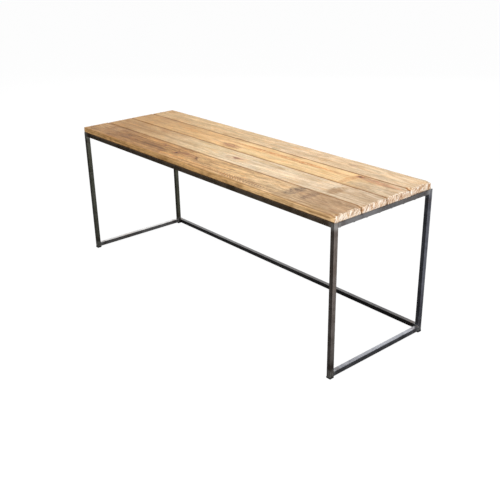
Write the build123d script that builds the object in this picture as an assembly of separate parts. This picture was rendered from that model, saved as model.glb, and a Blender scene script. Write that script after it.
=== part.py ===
from build123d import *
import os

# Entryway bench: a welded frame of square steel tube that carries four long wooden planks.
# Millimetres. The origin is on the floor under the middle of the bench, +X runs to the
# right along the planks, +Y runs from the front to the back, and +Z is up.

# Overall sizes
bench_length = 1200.0
bench_depth = 380.0
seat_height = 455.0

# Square tube
tube_size = 13.5
tube_wall = 1.5
tube_corner = 1.2
tube_inside_corner = 0.5
top_plate_thickness = 2.0

# The low back rail sits a little above the two low side rails
back_rail_lift = 4.2

# Cross braces under the planks, set out evenly about the middle
brace_count = 2
brace_spacing = 400.0

# Planks, counted from the front to the back
plank_count = 4
plank_thickness = 18.5
plank_gap = 1.0
plank_front_setback = 0.5
plank_back_setback = 2.5
plank_upper_arris = 1.5
plank_lower_arris = 2.5
plank_width_trims = (3.5, 0.5, -0.5, -3.5)
plank_left_setbacks = (1.0, 2.0, 1.5, 2.5)
plank_right_setbacks = (1.5, 1.0, 0.5, 3.0)
plank_names = ("seat_plank_front", "seat_plank_front_middle", "seat_plank_back_middle", "seat_plank_back")

# Wood screws, driven up through the cross tubes into the planks
screw_diameter = 4.2
screw_root_diameter = 2.9
screw_pitch = 1.8
screw_tip_length = 3.0
screw_head_diameter = 8.2
screw_head_height = 2.8
screw_head_round = 1.2
screw_recess_width = 1.1
screw_recess_reach = 4.4
screw_recess_depth = 1.6
screw_cover = 4.0
screw_hole_clearance = 0.6
screw_pilot_spare = 0.5
screw_edge_inset = 23.0

# Foot caps
foot_rim_height = 4.4
foot_rim_overhang = 1.0
foot_rim_chamfer = 0.8
foot_plug_clearance = 0.6
foot_plug_length = 14.0
foot_plug_wall = 1.4
foot_rib_height = 1.0
foot_rib_count = 3

# Fillet welds
weld_leg = 2.4

# Sizes that follow from the ones above
tube_inside = tube_size - 2 * tube_wall
tube_flat = tube_size - 2 * tube_corner
frame_top = seat_height - plank_thickness
leg_length = frame_top - foot_rim_height
leg_x = (bench_length - tube_size) / 2
leg_y = (bench_depth - tube_size) / 2
long_rail_length = bench_length - 2 * tube_size
side_rail_length = bench_depth - 2 * tube_size
top_rail_z = frame_top - tube_size / 2
side_rail_z = foot_rim_height + tube_size / 2
back_rail_z = side_rail_z + back_rail_lift
screw_bite = plank_thickness - screw_cover
screw_length = tube_size + screw_bite
top_front = plank_front_setback - bench_depth / 2
top_depth = bench_depth - plank_front_setback - plank_back_setback
even_plank_width = (top_depth - (plank_count - 1) * plank_gap) / plank_count


def save(shape, node):
    export_step(shape, "parts/" + node + ".step")


def square_tube(length):
    # Stands on the XY plane and rises along +Z.
    outside = RectangleRounded(tube_size, tube_size, tube_corner)
    inside = RectangleRounded(tube_inside, tube_inside, tube_inside_corner)
    return extrude(outside - inside, amount=length)


def tube_along_x(length):
    return Rot(0, 90, 0) * Pos(0, 0, -length / 2) * square_tube(length)


def tube_along_y(length):
    return Rot(-90, 0, 0) * Pos(0, 0, -length / 2) * square_tube(length)


def plank_sides():
    # The front and back side of each plank, as distances along Y.
    sides = []
    front = top_front
    for trim in plank_width_trims:
        back = front + even_plank_width + trim
        sides.append((front, back))
        front = back + plank_gap
    return sides


def screw_rows():
    # Two screws hold each plank on each cross tube, one near each side of the plank.
    rows = []
    for front, back in plank_sides():
        rows.append(front + screw_edge_inset)
        rows.append(back - screw_edge_inset)
    return rows


def brace_places():
    first = -brace_spacing * (brace_count - 1) / 2
    return [first + brace_spacing * number for number in range(brace_count)]


def cross_tube():
    # A tube from front to back that is drilled right through for the screws.
    tube = tube_along_y(side_rail_length)
    hole = Cylinder((screw_diameter + screw_hole_clearance) / 2, 2 * tube_size)
    for y in screw_rows():
        tube -= Pos(0, y, 0) * hole
    return tube


def plank(number, screw_columns):
    front, back = plank_sides()[number]
    left = -bench_length / 2 + plank_left_setbacks[number]
    right = bench_length / 2 - plank_right_setbacks[number]
    middle = Pos((left + right) / 2, (front + back) / 2, frame_top + plank_thickness / 2)
    board = Box(right - left, back - front, plank_thickness)
    long_edges = board.edges().filter_by(Axis.X)
    board = fillet(long_edges.group_by(Axis.Z)[0], plank_lower_arris)
    long_edges = board.edges().filter_by(Axis.X)
    board = middle * fillet(long_edges.group_by(Axis.Z)[-1], plank_upper_arris)
    pilot_depth = screw_bite + screw_pilot_spare
    pilot = Cylinder(screw_diameter / 2, pilot_depth, align=(Align.CENTER, Align.CENTER, Align.MIN))
    for x in screw_columns:
        for y in (front + screw_edge_inset, back - screw_edge_inset):
            board -= Pos(x, y, frame_top) * pilot
    return board


def screw_head():
    # A pan head that hangs below the XY plane, with a cross recess in its lower face.
    bottom = (Align.CENTER, Align.CENTER, Align.MAX)
    head = Cylinder(screw_head_diameter / 2, screw_head_height, align=bottom)
    head = fillet(head.edges().group_by(Axis.Z)[0], screw_head_round)
    upward = (Align.CENTER, Align.CENTER, Align.MIN)
    slot = Box(screw_recess_reach, screw_recess_width, screw_recess_depth, align=upward)
    cross = slot + Rot(0, 0, 90) * slot
    return head - Pos(0, 0, -screw_head_height) * cross


def screw_shank():
    # A plain shank through the tube, then thread ridges and a point, as one turned profile.
    outer = screw_diameter / 2
    root = screw_root_diameter / 2
    thread_end = screw_length - screw_tip_length
    ridges = int((thread_end - tube_size) / screw_pitch)
    points = [(0, 0), (outer, 0), (outer, tube_size)]
    for ridge in range(ridges):
        start = tube_size + ridge * screw_pitch
        points.append((root, start + screw_pitch / 4))
        points.append((outer, start + screw_pitch * 3 / 4))
    points.append((root, thread_end))
    points.append((0, screw_length))
    outline = make_face(Polyline([(r, 0, z) for r, z in points], close=True))
    return revolve(outline, Axis.Z)


def plank_screw():
    return screw_head() + screw_shank()


def screw_group(x):
    screw = plank_screw()
    seat_z = frame_top - tube_size
    return Compound([Pos(x, y, seat_z) * screw for y in screw_rows()])


def foot_cap():
    # A flared rim on the floor and a hollow ribbed plug that is pressed up into the leg.
    rim_side = tube_size + 2 * foot_rim_overhang
    rim_corner = tube_corner + foot_rim_overhang
    rim = extrude(RectangleRounded(rim_side, rim_side, rim_corner), amount=foot_rim_height)
    rim = chamfer(rim.edges().group_by(Axis.Z)[0], foot_rim_chamfer)
    plug_side = tube_inside - 2 * foot_plug_clearance
    hollow_side = plug_side - 2 * foot_plug_wall
    plug = Rectangle(plug_side, plug_side) - Rectangle(hollow_side, hollow_side)
    cap = rim + Pos(0, 0, foot_rim_height) * extrude(plug, amount=foot_plug_length)
    rib = RectangleRounded(tube_inside, tube_inside, tube_inside_corner)
    rib = extrude(rib - Rectangle(hollow_side, hollow_side), amount=foot_rib_height)
    rib_step = foot_plug_length / (foot_rib_count + 1)
    for number in range(foot_rib_count):
        cap += Pos(0, 0, foot_rim_height + rib_step * (number + 1)) * rib
    return cap


def leg_top_plate():
    plate = RectangleRounded(tube_inside, tube_inside, tube_inside_corner)
    return extrude(plate, amount=top_plate_thickness)


def weld(flat_direction):
    # A fillet weld in the corner between two faces: its corner edge runs along Y through
    # the origin, one face lies along -Z, the other along +X or -X.
    reach = weld_leg * flat_direction
    outline = make_face(Polyline((0, 0, 0), (reach, 0, 0), (0, 0, -weld_leg), close=True))
    return extrude(outline, amount=tube_flat / 2, dir=(0, 1, 0), both=True)


def top_welds():
    # Under both ends of each top rail, against the inner side of the leg.
    beads = []
    under = frame_top - tube_size
    inner_x = bench_length / 2 - tube_size
    inner_y = bench_depth / 2 - tube_size
    for y in (-leg_y, leg_y):
        beads.append(Pos(-inner_x, y, under) * weld(1))
        beads.append(Pos(inner_x, y, under) * weld(-1))
    for x in (-leg_x, leg_x):
        beads.append(Pos(x, -inner_y, under) * Rot(0, 0, 90) * weld(1))
        beads.append(Pos(x, inner_y, under) * Rot(0, 0, 90) * weld(-1))
    return Compound(beads)


def low_welds():
    # On top of both ends of each low rail, against the inner side of the leg.
    beads = []
    above = side_rail_z + tube_size / 2
    above_back = back_rail_z + tube_size / 2
    inner_x = bench_length / 2 - tube_size
    inner_y = bench_depth / 2 - tube_size
    beads.append(Pos(-inner_x, leg_y, above_back) * Rot(180, 0, 0) * weld(1))
    beads.append(Pos(inner_x, leg_y, above_back) * Rot(180, 0, 0) * weld(-1))
    for x in (-leg_x, leg_x):
        beads.append(Pos(x, -inner_y, above) * Rot(0, 0, 90) * Rot(180, 0, 0) * weld(1))
        beads.append(Pos(x, inner_y, above) * Rot(0, 0, 90) * Rot(180, 0, 0) * weld(-1))
    return Compound(beads)


def brace_welds():
    # Upright, on both sides of each brace end, against the inner side of the long rails.
    beads = []
    inner_y = bench_depth / 2 - tube_size
    for x in brace_places():
        for side in (-1, 1):
            for y in (-inner_y, inner_y):
                turn = 90 if y < 0 else -90
                bead = Rot(turn, 0, 0) * weld(side)
                beads.append(Pos(x + side * tube_size / 2, y, top_rail_z) * bead)
    return Compound(beads)


def build_legs():
    for x, side in ((-leg_x, "left"), (leg_x, "right")):
        for y, end in ((-leg_y, "front"), (leg_y, "back")):
            save(Pos(x, y, foot_rim_height) * square_tube(leg_length), "leg_" + end + "_" + side)
            save(Pos(x, y, 0) * foot_cap(), "foot_cap_" + end + "_" + side)


def build_top_plates():
    plate_z = frame_top - top_plate_thickness
    corners = [(x, y) for x in (-leg_x, leg_x) for y in (-leg_y, leg_y)]
    save(Compound([Pos(x, y, plate_z) * leg_top_plate() for x, y in corners]), "leg_top_plates")


def build_rails():
    save(Pos(0, -leg_y, top_rail_z) * tube_along_x(long_rail_length), "top_rail_front")
    save(Pos(0, leg_y, top_rail_z) * tube_along_x(long_rail_length), "top_rail_back")
    save(Pos(0, leg_y, back_rail_z) * tube_along_x(long_rail_length), "low_rail_back")
    for x, side in ((-leg_x, "left"), (leg_x, "right")):
        save(Pos(x, 0, top_rail_z) * cross_tube(), "top_rail_" + side)
        save(Pos(x, 0, side_rail_z) * tube_along_y(side_rail_length), "low_rail_" + side)


def build_braces():
    for number, x in enumerate(brace_places(), start=1):
        save(Pos(x, 0, top_rail_z) * cross_tube(), "cross_brace_" + str(number))


def build_planks_and_screws():
    screw_columns = [-leg_x] + brace_places() + [leg_x]
    for number, name in enumerate(plank_names):
        save(plank(number, screw_columns), name)
    for number, x in enumerate(screw_columns, start=1):
        save(screw_group(x), "plank_screws_" + str(number))


def build_welds():
    save(top_welds(), "welds_top_rails")
    save(low_welds(), "welds_low_rails")
    save(brace_welds(), "welds_cross_braces")


os.makedirs("parts", exist_ok=True)
build_legs()
build_top_plates()
build_rails()
build_braces()
build_planks_and_screws()
build_welds()
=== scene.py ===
import math
import bpy
from mathutils import Matrix, Vector, noise


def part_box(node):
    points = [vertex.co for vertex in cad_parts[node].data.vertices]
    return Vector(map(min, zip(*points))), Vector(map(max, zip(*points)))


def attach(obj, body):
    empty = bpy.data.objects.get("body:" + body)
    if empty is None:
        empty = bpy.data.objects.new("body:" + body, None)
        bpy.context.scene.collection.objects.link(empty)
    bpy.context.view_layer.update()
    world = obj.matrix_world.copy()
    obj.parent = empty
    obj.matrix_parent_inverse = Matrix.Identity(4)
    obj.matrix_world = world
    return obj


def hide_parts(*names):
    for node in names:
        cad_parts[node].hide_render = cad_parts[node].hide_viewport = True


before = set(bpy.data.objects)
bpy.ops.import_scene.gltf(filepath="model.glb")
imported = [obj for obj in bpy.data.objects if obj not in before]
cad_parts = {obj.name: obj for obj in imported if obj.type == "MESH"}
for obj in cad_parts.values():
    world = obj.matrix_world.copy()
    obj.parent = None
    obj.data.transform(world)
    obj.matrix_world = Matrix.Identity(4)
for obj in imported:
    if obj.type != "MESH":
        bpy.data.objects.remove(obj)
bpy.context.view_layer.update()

mm = 0.001
root = "root"


def tone(red, green, blue):
    # a screen colour, 0 to 255, in the linear form that shaders use
    parts = []
    for part in (red / 255, green / 255, blue / 255):
        parts.append(part / 12.92 if part <= 0.04045 else ((part + 0.055) / 1.055) ** 2.4)
    return (*parts, 1)


def grey(level):
    return (level, level, level, 1)


def selectOnly(piece):
    if bpy.context.object and bpy.context.object.mode != "OBJECT":
        bpy.ops.object.mode_set(mode="OBJECT")
    bpy.ops.object.select_all(action="DESELECT")
    piece.select_set(True)
    bpy.context.view_layer.objects.active = piece


def pick(piece, kind, wanted):
    # marks the vertices, edges or polygons that pass the test, and opens edit mode on them
    selectOnly(piece)
    mesh = piece.data
    kinds = ("vertices", "edges", "polygons")
    bpy.context.tool_settings.mesh_select_mode = [kind == one for one in kinds]
    for one in kinds:
        parts = getattr(mesh, one)
        parts.foreach_set("select", [False] * len(parts))
    parts = getattr(mesh, kind)
    parts.foreach_set("select", [wanted(mesh, part) for part in parts])
    bpy.ops.object.mode_set(mode="EDIT")


def runsAlong(mesh, edge, axis):
    start, end = (mesh.vertices[corner].co for corner in edge.vertices)
    run = end - start
    return abs(run[axis]) > 0.98 * run.length


def middleOf(mesh, edge):
    start, end = (mesh.vertices[corner].co for corner in edge.vertices)
    return (start + end) / 2


def applyModifier(piece, kind, settings):
    selectOnly(piece)
    modifier = piece.modifiers.new(kind.lower(), kind)
    for setting, value in settings.items():
        setattr(modifier, setting, value)
    bpy.ops.object.modifier_apply(modifier=modifier.name)


def setOnRoot(piece, slot, *nodes):
    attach(piece, root)
    if nodes:
        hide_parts(*nodes)


class Wire:
    # one output socket; arithmetic on it adds Math nodes
    def __init__(self, finish, socket):
        self.finish = finish
        self.socket = socket

    def calc(self, operation, *values):
        return self.finish.node("Math", {"operation": operation}, dict(enumerate(values)))

    def __add__(self, other):
        return self.calc("ADD", self, other)

    def __radd__(self, other):
        return self.calc("ADD", other, self)

    def __sub__(self, other):
        return self.calc("SUBTRACT", self, other)

    def __rsub__(self, other):
        return self.calc("SUBTRACT", other, self)

    def __mul__(self, other):
        return self.calc("MULTIPLY", self, other)

    def __rmul__(self, other):
        return self.calc("MULTIPLY", other, self)

    def __truediv__(self, other):
        return self.calc("DIVIDE", self, other)

    def __rtruediv__(self, other):
        return self.calc("DIVIDE", other, self)

    def __pow__(self, other):
        return self.calc("POWER", self, other)

    def __abs__(self):
        return self.calc("ABSOLUTE", self)

    def larger(self, other):
        return self.calc("MAXIMUM", self, other)

    def smaller(self, other):
        return self.calc("MINIMUM", self, other)


class Finish:
    # one material and the ways to write its nodes
    def __init__(self, name):
        self.material = bpy.data.materials.new(name)
        self.material.use_nodes = True
        self.tree = self.material.node_tree
        self.tree.nodes.clear()
        self.place = self.node("TexCoord", {}, {}, "Object")
        self.x = self.node("SeparateXYZ", {}, {0: self.place}, "X")
        self.y = self.node("SeparateXYZ", {}, {0: self.place}, "Y")
        self.z = self.node("SeparateXYZ", {}, {0: self.place}, "Z")

    def node(self, kind, settings, sockets, output=0):
        made = self.tree.nodes.new("ShaderNode" + kind)
        for setting, value in settings.items():
            if setting == "stops":
                self.setStops(made.color_ramp, value)
            else:
                setattr(made, setting, value)
        for socket, value in sockets.items():
            if isinstance(value, Wire):
                self.tree.links.new(value.socket, made.inputs[socket])
            else:
                made.inputs[socket].default_value = value
        return Wire(self, made.outputs[output]) if made.outputs else made

    def setStops(self, ramp, stops):
        ramp.elements[0].position = stops[0][0]
        ramp.elements[0].color = stops[0][1]
        ramp.elements[1].position = stops[-1][0]
        ramp.elements[1].color = stops[-1][1]
        for place, colour in stops[1:-1]:
            ramp.elements.new(place).color = colour

    def ramp(self, value, stops):
        return self.node("ValToRGB", {"stops": stops}, {0: value})

    def grain(self, scale, detail=3.0, rough=0.5, shift=(0, 0, 0), place=None):
        # noise with its own fineness along each axis, in features per metre
        sockets = {"Vector": place or self.place, "Location": shift, "Scale": scale}
        stretched = self.node("Mapping", {}, sockets)
        sockets = {"Vector": stretched, "Scale": 1.0, "Detail": detail, "Roughness": rough}
        return self.node("TexNoise", {}, sockets)

    def wave(self, value):
        return self.node("Math", {"operation": "SINE"}, {0: value})

    def rise(self, value, low, high):
        # 0 below low, 1 above high, smooth between
        settings = {"interpolation_type": "SMOOTHSTEP"}
        return self.node("MapRange", settings, {"Value": value, "From Min": low, "From Max": high})

    def fall(self, value, low, high):
        # 1 below low, 0 above high
        settings = {"interpolation_type": "SMOOTHSTEP"}
        sockets = {"Value": value, "From Min": low, "From Max": high, "To Min": 1.0, "To Max": 0.0}
        return self.node("MapRange", settings, sockets)

    def mix(self, share, first, second, way="MIX"):
        settings = {"data_type": "RGBA", "blend_type": way}
        return self.node("Mix", settings, {0: share, 6: first, 7: second}, 2)

    def facing(self, axis):
        # how far the surface turns towards an axis, from -1 to 1
        normal = self.node("TexCoord", {}, {}, "Normal")
        return self.node("SeparateXYZ", {}, {0: normal}, axis)

    def bump(self, height, depth, strength=1.0):
        return self.node("Bump", {}, {"Height": height, "Distance": depth, "Strength": strength})

    def close(self, sockets):
        shader = self.node("BsdfPrincipled", {}, sockets)
        self.node("OutputMaterial", {}, {"Surface": shader})
        return self.material


# Places and sizes are in millimetres. The notes on the first board hold for all four.
woods = {
    "front": {
        # tones along the board, each with its x; every board is darker over its left part, partly its own
        # tone and partly painted shade
        "along": [(-600, (192, 156, 112)), (-520, (186, 150, 108)), (-430, (160, 122, 80)),
                  (-330, (170, 130, 82)), (-220, (178, 138, 88)), (-120, (192, 151, 99)),
                  (30, (211, 176, 127)), (200, (213, 181, 135)), (300, (219, 192, 152)),
                  (600, (189, 160, 128))],
        "pith": (-150, 385),  # y and z of the middle of the tree
        "spacing": 4.6,  # from one growth ring to the next
        "shift": (3.1, 0.7, 0.2),  # moves every pattern, so that no two boards match
        "lively": 1.0,  # strength of the streaks and blotches
        "drawn": 4.5,  # streaks per metre of board
        # x, y, half length, half width, colour, share
        "patches": [(488, -128, 114, 42, (172, 142, 108), 0.85), (398, -128, 22, 42, (112, 94, 80), 0.9),
                    (453, -130, 16, 36, (126, 100, 80), 0.8), (-520, -120, 60, 22, (190, 158, 120), 0.5),
                    (40, -172, 260, 7, (228, 176, 112), 0.6), (-380, -150, 90, 14, (140, 100, 62), 0.45),
                    (-230, -158, 100, 12, (146, 104, 64), 0.45), (-290, -112, 90, 8, (206, 162, 104), 0.6),
                    (560, -112, 50, 14, (150, 124, 94), 0.5), (540, -176, 70, 8, (196, 162, 110), 0.6),
                    (150, -125, 150, 10, (226, 190, 138), 0.5)],
        # x, y, size, how drawn out, redness, darkness
        "knots": [(-113, -140, 13, 1.6, 0.6, 1.0), (-62, -132, 20, 2.6, 0.45, 0.0),
                  (-205, -118, 8, 1.5, 0.7, 0.8)],
        # curved lines by the knots: x, y, radius, how drawn out, line width, share
        "arcs": [(-62, -139, 17, 2.5, 3.2, 0.85), (-30, -146, 9, 2.6, 2.6, 0.6),
                 (-150, -130, 12, 3.0, 2.4, 0.6)],
        # dirty lines along the grain: y, start, stop, width, share
        "grooves": [(-173, -260, 592, 1.7, 0.7), (-150, 420, 590, 1.0, 0.5), (-122, -480, -180, 1.0, 0.5)],
        "stain": 374,  # weathered to the right of this x
        "chatter": (60, 358, -172, 12),  # planer marks: start, stop, y, half width
        # painted shade along the front and back edges, where the boards meet
        "seams": (0.0, 0.9),  # darkness of the front and back edges
        "endTone": (246, 226, 198),
        # the front board's long sides darken to the left the same way, partly painted shade
        "sideTone": (204, 162, 108),  # left part of the long sides
        "sidePale": (226, 190, 140),  # right part of the long sides
    },
    "frontMiddle": {
        "along": [(-600, (192, 154, 106)), (-480, (180, 142, 96)), (-330, (202, 168, 122)),
                  (-210, (216, 188, 148)), (-150, (216, 190, 150)), (-40, (222, 198, 160)),
                  (60, (231, 211, 180)), (430, (230, 209, 180)), (600, (214, 192, 165))],
        "pith": (-20, 360),
        "spacing": 5.4,
        "shift": (7.7, 2.1, 5.2),
        "lively": 0.55,
        "drawn": 2.4,
        "patches": [(473, -44, 20, 42, (178, 142, 98), 0.9), (548, -50, 54, 42, (196, 170, 136), 0.6),
                    (470, -85, 130, 6, (228, 212, 184), 0.8), (100, -18, 300, 7, (214, 190, 146), 0.6),
                    (-120, -70, 160, 9, (236, 214, 176), 0.5), (250, -62, 120, 8, (236, 216, 180), 0.5),
                    (-60, -40, 60, 9, (206, 176, 130), 0.5), (330, -30, 70, 7, (212, 184, 140), 0.5)],
        "knots": [(62, -46, 15, 2.1, 1.0, 0.45), (30, -52, 10, 3.0, 0.45, 0.0)],
        "arcs": [(42, -51, 9, 2.2, 1.8, 0.55)],
        "grooves": [(-74, -150, 420, 0.9, 0.45), (-28, 120, 560, 0.8, 0.4)],
        "stain": 450,
        "chatter": None,
        "seams": (0.5, 0.6),
        "endTone": (238, 214, 186),
        "sideTone": (176, 138, 94),
        "sidePale": (176, 138, 94),
    },
    "backMiddle": {
        "along": [(-600, (194, 156, 108)), (-420, (206, 166, 114)), (-250, (216, 176, 122)),
                  (-130, (228, 190, 138)), (-20, (238, 205, 153)), (410, (238, 206, 156)),
                  (600, (222, 198, 168))],
        "pith": (70, 372),
        "spacing": 5.0,
        "shift": (1.4, 9.1, 3.3),
        "lively": 0.45,
        "drawn": 1.6,
        "patches": [(150, 64, 290, 11, (203, 138, 76), 0.95), (-240, 58, 130, 10, (210, 158, 98), 0.6),
                    (428, 46, 14, 42, (206, 150, 94), 0.7), (520, 30, 78, 30, (202, 182, 154), 0.8),
                    (520, 76, 80, 12, (220, 164, 128), 0.8), (551, 19, 36, 9, (228, 206, 170), 0.7),
                    (60, 14, 300, 8, (238, 204, 146), 0.6), (-10, 44, 90, 7, (226, 178, 116), 0.5),
                    (480, 84, 60, 5, (188, 116, 80), 0.6), (300, 84, 110, 7, (236, 200, 148), 0.6)],
        "knots": [(-58, 30, 25, 3.2, 0.75, 0.0), (-86, 31, 11, 2.4, 0.6, 0.35),
                  (437, 83, 15, 1.8, 1.0, 1.0)],
        "arcs": [(-72, 31, 11, 2.6, 1.6, 0.6)],
        "grooves": [(58, -520, 60, 0.9, 0.4), (20, 180, 580, 0.8, 0.4)],
        "stain": 446,
        "chatter": None,
        "seams": (0.6, 0.6),
        "endTone": (236, 210, 180),
        "sideTone": (186, 140, 88),
        "sidePale": (186, 140, 88),
    },
    "back": {
        "along": [(-600, (210, 176, 130)), (-300, (224, 194, 150)), (-60, (230, 204, 164)),
                  (120, (234, 208, 174)), (350, (225, 200, 165)), (600, (219, 196, 165))],
        "pith": (168, 366),
        "spacing": 4.2,
        "shift": (5.5, 4.4, 8.2),
        "lively": 0.6,
        "drawn": 2.8,
        "patches": [(590, 100, 12, 5, (196, 128, 62), 0.9), (75, 106, 26, 10, (172, 164, 132), 0.65),
                    (354, 146, 22, 7, (176, 144, 128), 0.6), (250, 130, 120, 8, (202, 166, 120), 0.6),
                    (-100, 150, 200, 8, (236, 204, 158), 0.5), (480, 120, 60, 9, (194, 172, 142), 0.55),
                    (160, 160, 100, 8, (234, 202, 150), 0.5), (-200, 118, 110, 8, (206, 164, 112), 0.5)],
        "knots": [(205, 158, 6, 2.2, 0.35, 0.0)],
        "arcs": [],
        "grooves": [(124, -560, 120, 0.9, 0.4), (152, 60, 560, 0.8, 0.45)],
        "stain": None,
        "chatter": None,
        "seams": (0.7, 0.0),
        "endTone": (238, 214, 184),
        "sideTone": (186, 148, 102),
        "sidePale": (186, 148, 102),
    },
}

# colours of the marks that every board carries; the skirt is painted shade along the lower edge, the palest
# torn fibre partly a painted highlight
marks = {
    "weathered": (136, 112, 86), "stainEdge": (130, 98, 68), "chatter": (118, 80, 52),
    "groove": (112, 76, 46), "dirt": (104, 72, 44), "skirtShade": (84, 58, 36), "wornArris": (142, 100, 54),
    "knotWood": (172, 104, 66), "knotRing": (116, 62, 38), "knotHeart": (70, 40, 26), "swirl": (106, 66, 38),
    "tornDeep": (168, 116, 76), "tornFibre": (234, 208, 174), "tornPaleAndHighlight": (255, 248, 236),
    "sideRing": (124, 86, 50), "endRing": (186, 136, 94), "endWarm": (214, 168, 120),
    "endDeep": (148, 98, 66), "endPale": (255, 248, 238), "endTorn": (150, 102, 70),
}

# what these multiply the wood's own colour by; the seam cast is painted shade
casts = {
    "warm": (1.04, 0.93, 0.78, 1), "cool": (0.93, 0.97, 1.02, 1),
    "late": (0.70, 0.52, 0.34, 1), "seam": (0.42, 0.26, 0.15, 1),
}

# how far each mark is full, and where it has faded out
bands = {"seam": (1.6, 4.6), "skirtShade": (1.2, 4.4), "torn": (2.0, 6.5), "stainEdge": (1.0, 5.0)}
grooveFade = 60
stainHalf = 3


class WoodFinish(Finish):
    # one board: its patterns first, then the marks, each method laying its own over the colour so far
    def __init__(self, name, wood, low, high):
        super().__init__(name)
        self.wood = wood
        self.low = low
        self.high = high
        shift = wood["shift"]
        first, second, third = shift
        self.broad = self.grain((2.2, 26, 26), 3, 0.55, shift)
        self.streak = self.grain((wood["drawn"], 190, 190), 4, 0.62, shift)
        self.fibre = self.grain((30, 1900, 1900), 3, 0.65, shift)
        self.blotch = self.grain((11, 34, 34), 5, 0.62, shift)
        self.patchy = self.grain((34, 110, 110), 5, 0.66, shift)
        self.speck = self.grain((240, 700, 700), 2, 0.5, shift)
        self.hairs = self.grain((5, 520, 520), 3, 0.7, shift)
        self.fleck = self.grain((70, 210, 210), 4, 0.7, shift)
        self.tearing = self.grain((420, 330, 330), 3, 0.7, shift)
        self.warmth = self.grain((16, 60, 60), 4, 0.6, (second, third, first))
        self.pallor = self.grain((30, 62, 90), 3, 0.6, (third, first, second))
        self.rips = self.grain((20, 26, 50), 2, 0.5, (first, third, second))
        leaning = self.node("CombineXYZ", {}, {0: self.x, 1: self.y - self.z * 0.55, 2: self.z})
        self.strokes = self.grain((90, 300, 70), 2, 0.6, shift, leaning)
        self.ragged = self.blotch * 0.55 + self.patchy * 0.45
        self.ring = self.growthRing()
        self.late = self.lateWood()
        self.red, self.dark = self.knotMasks()
        self.dirt = self.rise(self.speck * (0.55 + self.patchy * 0.9), 0.62, 0.76)
        self.torn = self.tornEnds()
        self.end = self.rise(abs(self.facing("X")), 0.5, 0.9)
        self.tints = self.grainTints()

    def lay(self, share, colour, mark):
        return self.mix(share, colour, tone(*marks[mark]))

    def band(self, distance, mark):
        full, gone = bands[mark]
        return self.fall(distance, full * mm, gone * mm)

    def reach(self, x, y, long):
        # how far from a spot, counting less along the grain
        ahead = (self.x - x * mm) / long
        aside = self.y - y * mm
        return (ahead * ahead + aside * aside) ** 0.5

    def oval(self, x, y, halfLength, halfWidth):
        # 1 inside a soft uneven oval that lies along the grain
        along = (self.x - x * mm) / (halfLength * mm)
        across = (self.y - y * mm) / (halfWidth * mm)
        reach = (along * along + across * across) ** 0.5 + (self.ragged - 0.5) * 0.9
        return self.fall(reach, 0.68, 1.05)

    def growthRing(self):
        # 0 to 1 over each ring round a pith that wanders below the board
        shift = self.wood["shift"]
        drift = self.grain((0.9, 2.0, 2.0), 2, 0.5, shift)
        sunk = self.grain((1.3, 0.6, 0.6), 2, 0.5, shift)
        wobble = self.grain((5, 60, 60), 2, 0.5, shift)
        across = self.y
        for x, y, size, long, *_ in self.wood["knots"]:  # the grain parts round each knot
            bend = self.fall(self.reach(x, y, long * 1.7), size * 0.3 * mm, size * 3.4 * mm)
            across = across - (self.y - y * mm) * bend * 0.8
        pithY, pithZ = self.wood["pith"]
        aside = across - pithY * mm + (drift - 0.5) * 0.05
        down = self.z - pithZ * mm + (sunk - 0.5) * 0.06
        radius = (aside ** 2 + down ** 2) ** 0.5 + (wobble - 0.5) * 0.0024
        turn = radius / (self.wood["spacing"] * mm) + (self.broad - 0.5) * 1.2
        return self.node("Math", {"operation": "FRACT"}, {0: turn})

    def lateWood(self):
        # the dark part of each ring, broken up along the board
        stops = [(0.0, grey(0)), (0.45, grey(0.12)), (0.84, grey(1)), (0.95, grey(0.75)), (1.0, grey(0))]
        return self.ramp(self.ring, stops) * self.rise(self.streak, 0.2, 0.6)

    def knotMasks(self):
        # how red and how dark the knots make the wood
        red = self.x * 0
        dark = self.x * 0
        for x, y, size, long, redness, darkness in self.wood["knots"]:
            reach = self.reach(x, y, long) + (self.patchy + self.streak - 1.0) * (size * 1.2 * mm)
            halo = self.fall(reach, size * 0.3 * mm, size * mm) * (0.75 + self.late * 0.25)
            red = red.larger(halo * redness)
            dark = dark.larger(self.fall(reach, size * 0.12 * mm, size * 0.5 * mm) * darkness)
        return red, dark

    def tornEnds(self):
        # where the top has torn out near the two ends; its palest fibres are partly a painted highlight
        # along the end edges
        fromEnd = (self.x - self.low.x).smaller(self.high.x - self.x)
        uneven = (self.patchy - 0.5) * 0.03
        return self.band(fromEnd + uneven, "torn") * self.rise(self.pallor, 0.36, 0.52)

    def grainTints(self):
        # share, pattern, and what its low to high parts multiply the colour by
        return [
            (1.0, self.broad, [(0.34, (0.80, 0.75, 0.68, 1)), (0.5, grey(1)),
                               (0.66, (1.10, 1.08, 1.05, 1))]),
            (1.0, self.blotch, [(0.36, (0.80, 0.75, 0.68, 1)), (0.5, grey(1)),
                                (0.62, (1.14, 1.13, 1.12, 1))]),
            (1.0, self.patchy, [(0.36, (0.70, 0.63, 0.55, 1)), (0.47, (0.97, 0.96, 0.95, 1)),
                                (0.62, grey(1.18))]),
            (1.0, self.streak, [(0.34, (0.62, 0.53, 0.43, 1)), (0.46, (0.98, 0.97, 0.96, 1)),
                                (0.66, (1.12, 1.11, 1.09, 1))]),
            (0.9, self.hairs, [(0.34, (0.50, 0.38, 0.27, 1)), (0.43, grey(1))]),
            (0.6, self.fibre, [(0.38, (0.74, 0.67, 0.58, 1)), (0.5, grey(1))]),
        ]

    def bareWood(self):
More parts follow.
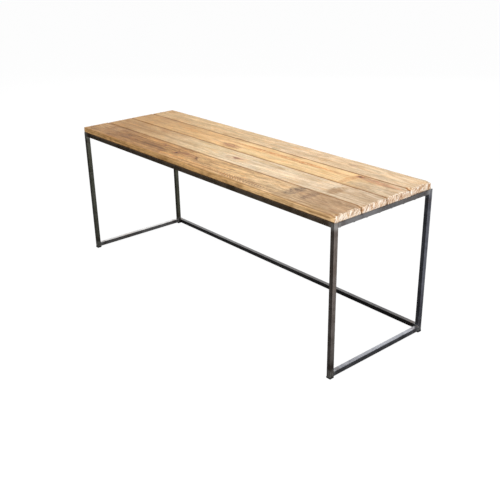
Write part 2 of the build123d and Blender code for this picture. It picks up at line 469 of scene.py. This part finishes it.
        # tones along the board, darker to the left partly as painted shade, then patches and the tints of
        # the grain
        span = self.high.x - self.low.x
        stops = []
        for x, colour in self.wood["along"]:
            inside = min(max(x * mm, self.low.x), self.high.x)
            stops.append(((inside - self.low.x) / span, tone(*colour)))
        colour = self.ramp((self.x + (self.blotch - 0.5) * 0.12 - self.low.x) / span, stops)
        flecks = 0.35 + self.rise(self.fleck, 0.42, 0.58) * 0.65
        for x, y, halfLength, halfWidth, shade, share in self.wood["patches"]:
            patch = self.oval(x, y, halfLength, halfWidth) * (flecks * share)
            colour = self.mix(patch, colour, tone(*shade))
        for share, pattern, shades in self.tints:
            colour = self.mix(share * self.wood["lively"], colour, self.ramp(pattern, shades), "MULTIPLY")
        colour = self.mix(self.rise(self.warmth, 0.50, 0.66) * 0.7, colour, casts["warm"], "MULTIPLY")
        colour = self.mix(self.fall(self.warmth, 0.34, 0.50) * 0.7, colour, casts["cool"], "MULTIPLY")
        return self.mix(self.late * 0.5, colour, casts["late"], "MULTIPLY")

    def weather(self, colour):
        # mottled grey brown past a straight stain edge
        stain = self.wood["stain"]
        if stain is None:
            return colour
        uneven = (self.patchy - 0.5) * 0.02
        beyond = self.rise(self.x + uneven, (stain - stainHalf) * mm, (stain + stainHalf) * mm)
        mottle = self.rise(self.patchy * 0.6 + self.warmth * 0.4, 0.44, 0.60)
        colour = self.lay(beyond * mottle * 0.55, colour, "weathered")
        edge = self.band(abs(self.x - stain * mm), "stainEdge") * self.rise(self.patchy, 0.42, 0.6)
        return self.lay(edge * 0.3, colour, "stainEdge")

    def chatter(self, colour):
        # short dark dashes that a planer leaves across the grain
        if self.wood["chatter"] is None:
            return colour
        start, stop, row, half = self.wood["chatter"]
        within = self.oval((start + stop) / 2, row, (stop - start) / 2, half)
        dashes = self.wave(self.x * 560 + self.y * 260 + self.patchy * 18)
        dashes = self.rise(dashes + (self.streak - 0.5) * 6.0, 0.35, 0.95)
        return self.lay(within * dashes * 0.8, colour, "chatter")

    def grooves(self, colour):
        # long thin grooves that have filled with dirt and fade out at both ends
        for y, start, stop, width, share in self.wood["grooves"]:
            bent = self.y - y * mm + (self.broad - 0.5) * 0.006 + (self.patchy - 0.5) * 0.002
            groove = self.fall(abs(bent), width * 0.3 * mm, width * mm) * self.rise(self.blotch, 0.38, 0.52)
            groove = groove * self.rise(self.x, start * mm, (start + grooveFade) * mm)
            groove = groove * self.fall(self.x, (stop - grooveFade) * mm, stop * mm)
            colour = self.lay(groove * share, colour, "groove")
        return colour

    def knots(self, colour):
        # red wood, then the curved lines beside it, open towards the front, then the dark hearts
        knotWood = self.lay(self.late * 0.6, tone(*marks["knotWood"]), "knotRing")
        colour = self.mix(self.red * 0.95, colour, knotWood)
        for x, y, radius, long, width, share in self.wood["arcs"]:
            reach = self.reach(x, y, long) + (self.blotch - 0.5) * (radius * 0.9 * mm)
            arc = self.fall(abs(reach - radius * mm), width * 0.3 * mm, width * mm)
            behind = self.y - y * mm + (self.x - x * mm) / long * 0.3
            arc = arc * self.rise(behind, radius * -0.5 * mm, radius * 0.3 * mm)
            colour = self.lay(arc * self.rise(self.patchy, 0.37, 0.50) * share, colour, "swirl")
        return self.lay(self.dark * 0.92, colour, "knotHeart")

    def edges(self, colour):
        # painted shade darkens the seams between the boards; the ends are torn and pale, their palest fibres
        # partly a painted highlight
        frontSeam, backSeam = self.wood["seams"]
        uneven = (self.patchy - 0.5) * 0.006
        # painted shade in the seams between the boards
        seam = self.band(self.y - self.low.y + uneven, "seam") * frontSeam
        seam = seam.larger(self.band(self.high.y - self.y + uneven, "seam") * backSeam)
        colour = self.mix(seam * 0.95, colour, casts["seam"], "MULTIPLY")
        # the palest torn fibre is partly a painted highlight along the end edges
        stops = [(0.42, tone(*marks["tornDeep"])), (0.49, tone(*marks["tornFibre"])),
                 (0.57, tone(*marks["tornPaleAndHighlight"]))]
        return self.mix(self.torn * 0.9, colour, self.ramp(self.strokes * 0.6 + self.tearing * 0.4, stops))

    def longSides(self, colour):
        # the two long sides, their worn arrises, and painted shade along the lower edge where they meet the
        # frame
        turned = abs(self.facing("Y"))
        # partly painted shade: the long sides darker to the left
        rightward = self.rise(self.x, 0.1, 0.5)
        side = self.mix(rightward, tone(*self.wood["sideTone"]), tone(*self.wood["sidePale"]))
        side = self.lay(self.late * 0.4, side, "sideRing")
        for share, pattern, shades in self.tints[1:4]:
            side = self.mix(share, side, self.ramp(pattern, shades), "MULTIPLY")
        colour = self.mix(self.rise(turned, 0.5, 0.95) * 0.85, colour, side)
        arris = self.rise(turned, 0.16, 0.36) * self.fall(turned, 0.80, 0.97)
        colour = self.lay(arris * self.rise(self.blotch, 0.36, 0.5) * 0.65, colour, "wornArris")
        # painted shade, darker towards the bottom of the board
        skirtShade = self.band(self.z - self.low.z + (self.blotch - 0.5) * 0.002, "skirtShade")
        return self.lay(skirtShade * 0.7, colour, "skirtShade")

    def endGrain(self, colour):
        # pale, with dark ring lines and torn fibres
        lines = self.ramp(self.ring, [(0.0, grey(0)), (0.5, grey(0.1)), (0.85, grey(1)), (1.0, grey(0))])
        grain = self.lay(lines * 0.45, tone(*self.wood["endTone"]), "endRing")
        grain = self.lay(self.rise(self.pallor, 0.5, 0.62) * 0.6, grain, "endWarm")
        ripped = self.rise(self.rips, 0.40, 0.54) * 0.75 + 0.25
        grain = self.lay(self.fall(self.strokes, 0.40, 0.48) * ripped * 0.8, grain, "endDeep")
        grain = self.lay(self.rise(self.strokes, 0.52, 0.60) * 0.9, grain, "endPale")
        grain = self.lay(self.rise(self.tearing, 0.54, 0.62) * 0.4, grain, "endTorn")
        return self.mix(self.end * 0.9, colour, grain)

    def finished(self):
        # every mark in its order, then the relief that goes with it
        colour = self.weather(self.bareWood())
        colour = self.grooves(self.chatter(colour))
        colour = self.lay(self.dirt * 0.55, self.knots(colour), "dirt")
        colour = self.longSides(self.edges(colour))
        sawn = self.wave(self.x * 2100 + self.y * 500 + self.blotch * 12)
        height = self.late * 0.5 + self.streak * 0.7 + self.fibre * 0.3 + self.patchy * 0.8
        height = height + sawn * 0.10 + self.red * 0.5 - self.dirt * 0.6 - self.dark * 0.6
        height = height + self.end.larger(self.torn) * self.tearing * 1.6
        return self.close({
            "Base Color": self.endGrain(colour),
            "Roughness": 0.56 + self.patchy * 0.2 - self.late * 0.08 + self.end * 0.12,
            "Specular IOR Level": 0.25,
            "Normal": self.bump(height, 0.0006, 0.6),
        })


# Millimetres. Arris is the wear of the top front edge at the left and right ends, corners that of
# the two right corners; each drying check is its end, y, length, width and depth.
planks = {
    "seatPlankFront": {
        "node": "seat_plank_front", "slot": "plank_front_wood", "wood": "front",
        "arris": (1.6, 4.3), "lowerArris": 3.8, "corners": (3.2, 2.6),
        "checks": [(1, -118, 58, 0.7, 7), (-1, -140, 46, 1.0, 6)],
    },
    "seatPlankFrontMiddle": {
        "node": "seat_plank_front_middle", "slot": "plank_front_middle_wood", "wood": "frontMiddle",
        "arris": (1.5, 1.5), "lowerArris": 2.8, "corners": (2.8, 0.8),
        "checks": [(1, -68, 30, 0.6, 5), (-1, -52, 64, 1.2, 7)],
    },
    "seatPlankBackMiddle": {
        "node": "seat_plank_back_middle", "slot": "plank_back_middle_wood", "wood": "backMiddle",
        "arris": (1.5, 1.5), "lowerArris": 2.8, "corners": (0.8, 3.2),
        "checks": [(1, 40, 36, 0.6, 6), (-1, 62, 38, 0.9, 5)],
    },
    "seatPlankBack": {
        "node": "seat_plank_back", "slot": "plank_back_wood", "wood": "back",
        "arris": (1.5, 1.5), "lowerArris": 2.8, "corners": (4.2, 2.0),
        "checks": [(1, 150, 44, 0.6, 6), (-1, 128, 50, 1.1, 6)],
    },
}
boardCells = {"across": 19, "upright": 2, "firstCuts": 100, "secondCuts": 2}
# millimetres, and the fineness of the uneven wear along x, y and z
wear = {"widest": 4.4, "endFace": 1.7, "endCorner": 3.2, "nearEnd": 24, "endExtra": 2.2,
        "held": 6.5, "soft": 13.0, "uneven": (14, 40, 40)}
checkWedge = {"beyond": 2.0, "cuts": 3, "uneven": 0.3, "seed": 3}
smoothBelow = 38
# metres; the clouds of each relief are stretched along the grain
reliefs = {
    "saw waves": {"size": 0.03, "depth": 1, "stretch": 7, "settings": {
        "strength": 0.0007, "direction": "Z", "vertex_group": "top"}},
    "raised grain": {"size": 0.005, "depth": 2, "stretch": 30, "settings": {
        "strength": 0.00045, "direction": "Z", "vertex_group": "top"}},
    "nibbled edges": {"size": 0.006, "depth": 3, "stretch": 7, "settings": {
        "strength": 0.0016, "mid_level": 0.9, "vertex_group": "arris"}},
    "torn ends": {"size": 0.0035, "depth": 3, "stretch": 1, "settings": {
        "strength": 0.0016, "mid_level": 0.85, "vertex_group": "ends"}},
}


def reliefTexture(name, size, depth):
    texture = bpy.data.textures.new(name, "CLOUDS")
    texture.noise_scale = size
    texture.noise_depth = depth
    return texture


def grainEmpty(stretch):
    # a helper whose long X axis stretches a relief along the grain
    bpy.ops.object.empty_add(location=(0, 0, 0))
    helper = bpy.context.object
    helper.scale = (stretch, 1, 1)
    bpy.context.view_layer.update()
    return helper


def markGroup(board, name, weigh):
    group = board.vertex_groups.new(name=name)
    for vertex in board.data.vertices:
        weight = weigh(vertex.co)
        if weight > 0:
            group.add([vertex.index], weight, "REPLACE")


def cutBoard(board):
    for axis, cuts in ((1, "across"), (2, "upright"), (0, "firstCuts"), (0, "secondCuts")):
        pick(board, "edges", lambda mesh, edge: runsAlong(mesh, edge, axis))
        bpy.ops.mesh.subdivide(number_cuts=boardCells[cuts])
    bpy.ops.object.mode_set(mode="OBJECT")


def wearArrises(board, plank, low, high):
    # rounds the long edges unevenly, and the front top edge more towards its worn end
    widest = wear["widest"]
    fineness = Vector(wear["uneven"])
    narrow, wide = plank["arris"]
    touching = 1e-6
    mesh = board.data
    weights = []
    for edge in mesh.edges:
        spot = middleOf(mesh, edge)
        fromEnd = min(spot.x - low.x, high.x - spot.x)
        onEnd = fromEnd < touching
        onSide = min(spot.y - low.y, high.y - spot.y) < touching
        onFace = min(spot.z - low.z, high.z - spot.z) < touching
        uneven = 0.75 + 0.5 * noise.noise(spot * fineness)
        if onSide and onFace:
            share = (spot.x - low.x) / (high.x - low.x)
            upper = spot.z > (low.z + high.z) / 2
            front = spot.y < (low.y + high.y) / 2
            size = narrow if upper else plank["lowerArris"]
            if upper and front:
                size = narrow + (wide - narrow) * min(1, max(0, share * 2 - 0.7))
            size = size * (0.6 + 0.4 * uneven)
            if upper:
                size += wear["endExtra"] * max(0, 1 - fromEnd / (wear["nearEnd"] * mm)) ** 2
            weights.append(min(1, size / widest))
        elif onEnd and (onFace or onSide):
            weights.append((wear["endFace"] if onFace else wear["endCorner"]) * uneven / widest)
        else:
            weights.append(0)
    mesh.attributes.new("bevel_weight_edge", "FLOAT", "EDGE").data.foreach_set("value", weights)
    settings = {"limit_method": "WEIGHT", "width": widest * mm, "segments": 3, "use_clamp_overlap": False}
    applyModifier(board, "BEVEL", settings)


def wearCorners(board, plank, low, high):
    # presses in the top corners of the right end, which carry most of the wear
    for side, push in zip((-1, 1), plank["corners"]):
        y = low.y if side < 0 else high.y
        corner = Vector((high.x, y, high.z))
        pick(board, "vertices", lambda mesh, vertex: (vertex.co - corner).length < wear["held"] * mm)
        bpy.ops.transform.translate(value=(-0.5 * push * mm, -0.7 * side * push * mm, -push * mm),
                                    use_proportional_edit=True, proportional_edit_falloff="SMOOTH",
                                    proportional_size=wear["soft"] * mm)
        bpy.ops.object.mode_set(mode="OBJECT")


def endChecks(board, plank, low, high, dark):
    # drying cracks that run in from the ends, cut with thin uneven wedges
    cutters = []
    for end, y, length, width, depth in plank["checks"]:
        place = (high.x if end > 0 else low.x) + end * checkWedge["beyond"] * mm
        middle = place - end * (length * mm) / 2
        bpy.ops.object.select_all(action="DESELECT")
        bpy.ops.mesh.primitive_cone_add(vertices=4, radius1=1, radius2=0, depth=1,
                                        location=(middle, y * mm, high.z),
                                        rotation=(0, -end * math.pi / 2, 0),
                                        scale=(depth * mm, width * mm / 2, length * mm))
        cutter = bpy.context.object
        bpy.ops.object.mode_set(mode="EDIT")
        bpy.ops.mesh.select_all(action="SELECT")
        bpy.ops.mesh.subdivide(number_cuts=checkWedge["cuts"])
        seed = checkWedge["seed"] + len(cutters)
        bpy.ops.transform.vertex_random(offset=checkWedge["uneven"] * mm, seed=seed)
        bpy.ops.object.mode_set(mode="OBJECT")
        bpy.ops.object.transform_apply(location=True, rotation=True, scale=True)
        cutter.data.materials.append(dark)
        cutters.append(cutter)
    bpy.ops.object.select_all(action="DESELECT")
    for cutter in cutters:
        cutter.select_set(True)
    bpy.context.view_layer.objects.active = cutters[0]
    bpy.ops.object.join()
    cutter = bpy.context.object
    settings = {"operation": "DIFFERENCE", "object": cutter, "solver": "EXACT", "material_mode": "TRANSFER"}
    applyModifier(board, "BOOLEAN", settings)
    bpy.data.objects.remove(cutter)


def roughen(board, low, high):
    # saw waves, raised grain, nibbled edges and torn end grain
    edgeBand = 0.005
    endBand = 0.0004

    def top(spot):
        return max(0, min(1, (spot.z - low.z) / (high.z - low.z) * 2 - 1))

    def arris(spot):
        side = min(spot.y - low.y, high.y - spot.y)
        end = min(spot.x - low.x, high.x - spot.x)
        return max(0, 1 - side / edgeBand, 1 - end / edgeBand) * top(spot)

    def ends(spot):
        return 1.0 if min(spot.x - low.x, high.x - spot.x) < endBand else 0.0

    markGroup(board, "top", top)
    markGroup(board, "arris", arris)
    markGroup(board, "ends", ends)
    for name, relief in reliefs.items():
        helper = grainEmpty(relief["stretch"])
        applyModifier(board, "DISPLACE", relief["settings"] | {
            "texture": reliefTexture(name, relief["size"], relief["depth"]),
            "texture_coords": "OBJECT", "texture_coords_object": helper})
        bpy.data.objects.remove(helper)


def makePlank(name, plank):
    low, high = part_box(plank["node"])
    bpy.ops.object.select_all(action="DESELECT")
    bpy.ops.mesh.primitive_cube_add(size=1, location=(low + high) / 2, scale=high - low)
    board = bpy.context.object
    board.name = name
    board.data.name = name
    bpy.ops.object.transform_apply(location=True, rotation=True, scale=True)
    wood = WoodFinish(name + "Wood", woods[plank["wood"]], low, high)
    board.data.materials.append(wood.finished())
    cutBoard(board)
    wearArrises(board, plank, low, high)
    wearCorners(board, plank, low, high)
    endChecks(board, plank, low, high, crackDark)
    applyModifier(board, "SUBSURF", {"subdivision_type": "SIMPLE", "levels": 1, "render_levels": 1})
    roughen(board, low, high)
    bpy.ops.object.shade_smooth_by_angle(angle=math.radians(smoothBelow))
    setOnRoot(board, plank["slot"], plank["node"])
    print("plank", name, len(board.data.polygons), "faces")


def crackFinish():
    # dark brown over the cut walls of the drying cracks
    finish = Finish("plankCrackDark")
    crackMottle = finish.grain((40, 700, 700), 3)
    colour = finish.ramp(crackMottle, [(0.3, tone(52, 34, 20)), (0.7, tone(104, 74, 46))])
    return finish.close({"Base Color": colour, "Roughness": 0.8 + crackMottle * 0.1,
                         "Normal": finish.bump(crackMottle, 0.0004)})


crackDark = crackFinish()
for plankName, plankSettings in planks.items():
    makePlank(plankName, plankSettings)


# each length of tube gets its own tone, some of it warmer or bluer. The dull tone of the low back rail is
# painted shade under the seat; the pale and light blue tones of the low side rails are partly their own tone
# and partly painted reflection
steels = {
    "plain": {"dark": (124, 122, 122), "light": (168, 166, 166), "stain": (140, 130, 122)},
    "pale": {"dark": (148, 146, 145), "light": (198, 196, 194), "stain": (160, 150, 142)},
    "brown": {"dark": (126, 108, 88), "light": (168, 148, 128), "stain": (134, 110, 88)},
    "warm": {"dark": (118, 107, 100), "light": (158, 148, 141), "stain": (128, 110, 96)},
    "blue": {"dark": (97, 99, 107), "light": (137, 139, 149), "stain": (106, 104, 112)},
    "blueLight": {"dark": (124, 126, 132), "light": (164, 165, 171), "stain": (132, 130, 136)},
    "olive": {"dark": (112, 113, 98), "light": (150, 151, 136), "stain": (118, 116, 96)},
    # painted shade: the low back rail darkened where it lies under the seat
    "dull": {"dark": (58, 57, 58), "light": (86, 84, 83), "stain": (64, 59, 57)},
}
# millimetres from the middle of a welded corner
jointMarks = {"ground": (11, 19), "groundTone": (214, 212, 208), "tintAt": 26, "tintWidth": (3, 10),
              "tintTone": (104, 88, 82), "uneven": 16}


def boxMiddle(node):
    low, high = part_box(node)
    return (low + high) / 2


def steelFinish(name, along, steel):
    # mill finish drawn lengthwise, with brighter ground spots and heat tint at the joints
    finish = Finish(name)
    drawn = [420.0, 420.0, 420.0]
    drawn["xyz".index(along)] = 5.0
    lines = finish.grain(drawn, 3, 0.6)
    mottle = finish.grain((26, 26, 26), 5, 0.65)
    cloud = finish.grain((7, 7, 7), 3, 0.5, (4, 2, 1))
    fine = finish.grain((1100, 1100, 1100), 2, 0.5)
    stops = [(0.34, tone(*steel["dark"])), (0.60, tone(*steel["light"]))]
    colour = finish.ramp(mottle + (lines - 0.5) * 0.35, stops)
    colour = finish.mix(finish.rise(cloud, 0.48, 0.7) * 0.5, colour, tone(*steel["stain"]))

    # distance from the nearest corner of the frame, where the tubes are welded
    leg = boxMiddle("leg_back_right")
    nearLeg = (leg.x - abs(finish.x)) ** 2 + (leg.y - abs(finish.y)) ** 2
    nearTop = (finish.z - boxMiddle("top_rail_right").z) ** 2
    nearLow = (finish.z - boxMiddle("low_rail_right").z) ** 2
    nearest = (nearLeg + nearTop.smaller(nearLow)) ** 0.5
    joint = nearest + (mottle - 0.5) * (jointMarks["uneven"] * mm)
    groundStart, groundStop = jointMarks["ground"]
    tintStart, tintStop = jointMarks["tintWidth"]
    ground = finish.fall(joint, groundStart * mm, groundStop * mm)
    tint = finish.fall(abs(joint - jointMarks["tintAt"] * mm), tintStart * mm, tintStop * mm)
    scratch = finish.grain((300, 300, 60), 4, 0.7, (9, 1, 4))
    colour = finish.mix(tint * 0.4, colour, tone(*jointMarks["tintTone"]))
    scratched = ground * finish.rise(scratch, 0.35, 0.62)
    colour = finish.mix(scratched * 0.75, colour, tone(*jointMarks["groundTone"]))

    roughness = 0.17 + mottle * 0.16 + lines * 0.06 + ground * 0.08
    height = lines * 0.6 + mottle * 0.5 + fine * 0.25 + scratch * ground * 0.8
    return finish.close({
        "Base Color": colour,
        "Metallic": 1.0,
        "Roughness": roughness,
        "Normal": finish.bump(height, 0.00012, 0.5),
    })


# the way each tube runs, its tone and its nodes; the low back rail's dull tone is painted shade, the low
# side rails' pale and light blue tones partly painted reflection
tubes = [
    ("x", "brown", ["top_rail_front", "top_rail_back"]),
    ("x", "dull", ["low_rail_back"]),
    ("y", "plain", ["top_rail_left", "top_rail_right", "cross_brace_1", "cross_brace_2"]),
    ("y", "pale", ["low_rail_left"]),
    ("y", "blueLight", ["low_rail_right"]),
    ("z", "olive", ["leg_front_left", "leg_back_left", "leg_top_plates"]),
    ("z", "warm", ["leg_front_right"]),
    ("z", "blue", ["leg_back_right"]),
]


def dress(node, material):
    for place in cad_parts[node].material_slots:
        place.material = material


for axis, tubeTone, names in tubes:
    label = "tubeSteel" + axis.upper() + tubeTone[0].upper() + tubeTone[1:]
    tubeSteel = steelFinish(label, axis, steels[tubeTone])
    for node in names:
        dress(node, tubeSteel)
print("steel tubes dressed")


# millimetres; each bead sinks a little into the tubes
beads = {"radius": 2.1, "ripples": 9, "length": 9.0, "voxel": 0.42, "sink": 0.5, "overlap": 1.15,
         "uneven": 0.08}


def weldFinish():
    finish = Finish("weldSteel")
    heat = finish.grain((220, 220, 220), 3)
    soot = finish.grain((60, 60, 60), 4, 0.6, (3, 3, 3))
    stops = [(0.35, tone(84, 78, 76)), (0.55, tone(128, 122, 118)), (0.7, tone(118, 100, 84))]
    colour = finish.ramp(heat, stops)
    colour = finish.mix(finish.rise(soot, 0.5, 0.7) * 0.5, colour, tone(60, 56, 58))
    return finish.close({"Base Color": colour, "Metallic": 0.9, "Roughness": 0.3 + soot * 0.3,
                         "Normal": finish.bump(heat, 0.0002, 0.6)})


def rippledBead():
    # overlapping flat drops along Y, merged into one skin
    step = beads["length"] / beads["ripples"]
    drops = []
    for number in range(beads["ripples"]):
        wide = beads["radius"] * (1.0 + beads["uneven"] * (-1) ** number)
        y = (number + 0.5) * step - beads["length"] / 2
        bpy.ops.object.select_all(action="DESELECT")
        bpy.ops.mesh.primitive_uv_sphere_add(segments=20, ring_count=12, radius=1, location=(0, y * mm, 0),
                                             scale=(wide * mm, step * beads["overlap"] * mm, wide * mm))
        drops.append(bpy.context.object)
    bpy.ops.object.select_all(action="DESELECT")
    for drop in drops:
        drop.select_set(True)
    bpy.context.view_layer.objects.active = drops[0]
    bpy.ops.object.join()
    bead = bpy.context.object
    bpy.ops.object.transform_apply(location=True, rotation=True, scale=True)
    settings = {"mode": "VOXEL", "voxel_size": beads["voxel"] * mm, "use_smooth_shade": True}
    applyModifier(bead, "REMESH", settings)
    return bead


def weldSpots(rail, along, under):
    # both ends of a rail, where its lower or upper face meets the leg
    low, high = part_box(rail)
    sink = beads["sink"] * mm
    z = low.z + sink if under else high.z - sink
    middle = (low + high) / 2
    if along == "x":
        return [((x, middle.y, z), "y") for x in (low.x + sink, high.x - sink)]
    return [((middle.x, y, z), "x") for y in (low.y + sink, high.y - sink)]


def braceSpots(brace):
    # upright beads on both sides of each end of a brace
    low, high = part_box(brace)
    sink = beads["sink"] * mm
    z = (low.z + high.z) / 2
    return [((x, y, z), "z") for x in (low.x + sink, high.x - sink) for y in (low.y + sink, high.y - sink)]


def layBeads(name, node, spots, template, material):
    # one bead at each spot, turned to its axis, every other one end for end, all joined in one piece
    quarter = math.pi / 2
    turns = {"y": Matrix.Identity(4), "x": Matrix.Rotation(quarter, 4, "Z"),
             "z": Matrix.Rotation(quarter, 4, "X")}
    copies = []
    for number, (place, axis) in enumerate(spots):
        copy = template.copy()
        copy.data = template.data.copy()
        bpy.context.scene.collection.objects.link(copy)
        flip = Matrix.Rotation(math.pi * (number % 2), 4, "Z")
        copy.data.transform(Matrix.Translation(place) @ turns[axis] @ flip)
        copies.append(copy)
    bpy.ops.object.select_all(action="DESELECT")
    for copy in copies:
        copy.select_set(True)
    bpy.context.view_layer.objects.active = copies[0]
    bpy.ops.object.join()
    group = bpy.context.object
    group.name = name
    group.data.name = name
    group.data.materials.append(material)
    setOnRoot(group, "weld_steel", node)


beadTemplate = rippledBead()
weldMaterial = weldFinish()
topRails = [("top_rail_front", "x"), ("top_rail_back", "x"),
            ("top_rail_left", "y"), ("top_rail_right", "y")]
topSpots = []
for rail, along in topRails:
    topSpots += weldSpots(rail, along, True)
lowRails = [("low_rail_back", "x"), ("low_rail_left", "y"), ("low_rail_right", "y")]
lowSpots = []
for rail, along in lowRails:
    lowSpots += weldSpots(rail, along, False)
layBeads("weldBeadsTop", "welds_top_rails", topSpots, beadTemplate, weldMaterial)
layBeads("weldBeadsLow", "welds_low_rails", lowSpots, beadTemplate, weldMaterial)
braceBeads = braceSpots("cross_brace_1") + braceSpots("cross_brace_2")
layBeads("weldBeadsBraces", "welds_cross_braces", braceBeads, beadTemplate, weldMaterial)
bpy.data.objects.remove(beadTemplate)
print("welds laid")


def footFinish():
    finish = Finish("footPlastic")
    grainy = finish.grain((900, 900, 900), 2)
    scuff = finish.grain((90, 90, 160), 4, 0.6)
    colour = finish.ramp(scuff, [(0.4, tone(24, 24, 25)), (0.75, tone(52, 51, 50))])
    return finish.close({"Base Color": colour, "Roughness": 0.5 + scuff * 0.25,
                         "Normal": finish.bump(grainy, 0.0002, 0.4)})


def screwFinish():
    finish = Finish("screwZinc")
    spangle = finish.grain((500, 500, 500), 2)
    dull = finish.grain((160, 160, 160), 3, 0.6, (2, 5, 1))
    colour = finish.ramp(dull, [(0.35, tone(150, 150, 146)), (0.65, tone(196, 195, 188))])
    return finish.close({"Base Color": colour, "Metallic": 1.0, "Roughness": 0.25 + dull * 0.3,
                         "Normal": finish.bump(spangle, 0.0001, 0.4)})


footMaterial = footFinish()
screwMaterial = screwFinish()
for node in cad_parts:
    if node.startswith("foot_cap"):
        dress(node, footMaterial)
    if node.startswith("plank_screws"):
        dress(node, screwMaterial)
print("feet and screws dressed")


floorLook = {"shadow": 0.08, "glow": 0.96, "dim": grey(0.10), "pale": (0.46, 0.46, 0.47, 1)}


def floorFinish():
    # pale to the eye; what the steel mirrors of it is painted shade and light: dim to the front, pale to the
    # right and under the middle
    finish = Finish("paleFloor")
    seen = finish.node("BsdfDiffuse", {}, {"Color": grey(floorLook["shadow"])})
    glow = finish.node("Emission", {}, {"Color": grey(1), "Strength": floorLook["glow"]})
    seen = finish.node("AddShader", {}, {0: seen, 1: glow})
    # painted light and shade on the floor, seen only in the steel's reflections
    rightSide = finish.rise(finish.x, 0.56, 0.9)
    middle = finish.fall(finish.x, 0.0, 0.35) * finish.rise(finish.x, -0.65, -0.5)
    middle = middle * finish.rise(finish.y, -0.2, 0.0)
    paleness = rightSide.larger(middle * 0.5)
    mirrored = finish.mix(paleness, floorLook["dim"], floorLook["pale"])
    mirrored = finish.node("BsdfDiffuse", {}, {"Color": mirrored})
    toCamera = finish.node("LightPath", {}, {}, "Is Camera Ray")
    surface = finish.node("MixShader", {}, {0: toCamera, 1: mirrored, 2: seen})
    finish.node("OutputMaterial", {}, {"Surface": surface})
    return finish.material


bpy.ops.object.select_all(action="DESELECT")
bpy.ops.mesh.primitive_plane_add(size=60, location=(0, 0, 0))
floor = bpy.context.object
floor.name = "floor"
floor.data.materials.append(floorFinish())

lights = {
    "overhead": {"place": (0.15, 0.2, 2.6), "size": (2.6, 2.2), "power": 34},
    "rightSide": {"place": (2.7, -0.5, 1.3), "size": (1.6, 1.4), "power": 46},
    "backWall": {"place": (-2.2, 2.4, 1.5), "size": (3.4, 1.8), "power": 30},
    "frontFill": {"place": (0.6, -2.6, 1.7), "size": (1.8, 1.2), "power": 44},
}
aim = Vector((0, 0, 0.3))
for name, light in lights.items():
    lamp = bpy.data.lights.new(name, "AREA")
    lamp.shape = "RECTANGLE"
    lamp.size, lamp.size_y = light["size"]
    lamp.energy = light["power"]
    holder = bpy.data.objects.new(name, lamp)
    bpy.context.scene.collection.objects.link(holder)
    holder.location = light["place"]
    holder.rotation_euler = (aim - holder.location).to_track_quat("-Z", "Y").to_euler()
    holder.visible_camera = False

room = {"colour": (0.95, 0.97, 1.0, 1), "strength": 0.25}
world = bpy.data.worlds.new("softRoom")
bpy.context.scene.world = world
world.use_nodes = True
background = world.node_tree.nodes["Background"]
background.inputs["Color"].default_value = room["colour"]
background.inputs["Strength"].default_value = room["strength"]

# metres, degrees and millimetres
eye = {"place": (1.7374, -1.4185, 1.0941), "turn": 49.75, "down": 23.45, "roll": -1.04,
       "lens": 54.06, "sensor": 36}
cameraData = bpy.data.cameras.new("camera")
cameraData.lens = eye["lens"]
cameraData.sensor_width = eye["sensor"]
camera = bpy.data.objects.new("camera", cameraData)
bpy.context.scene.collection.objects.link(camera)
turned = Matrix.Rotation(math.radians(eye["turn"]), 4, "Z")
tilted = Matrix.Rotation(math.radians(90 - eye["down"]), 4, "X")
rolled = Matrix.Rotation(math.radians(eye["roll"]), 4, "Z")
camera.matrix_world = Matrix.Translation(eye["place"]) @ turned @ tilted @ rolled
bpy.context.scene.camera = camera
bpy.context.scene.view_settings.view_transform = "Standard"

print("scene ready")
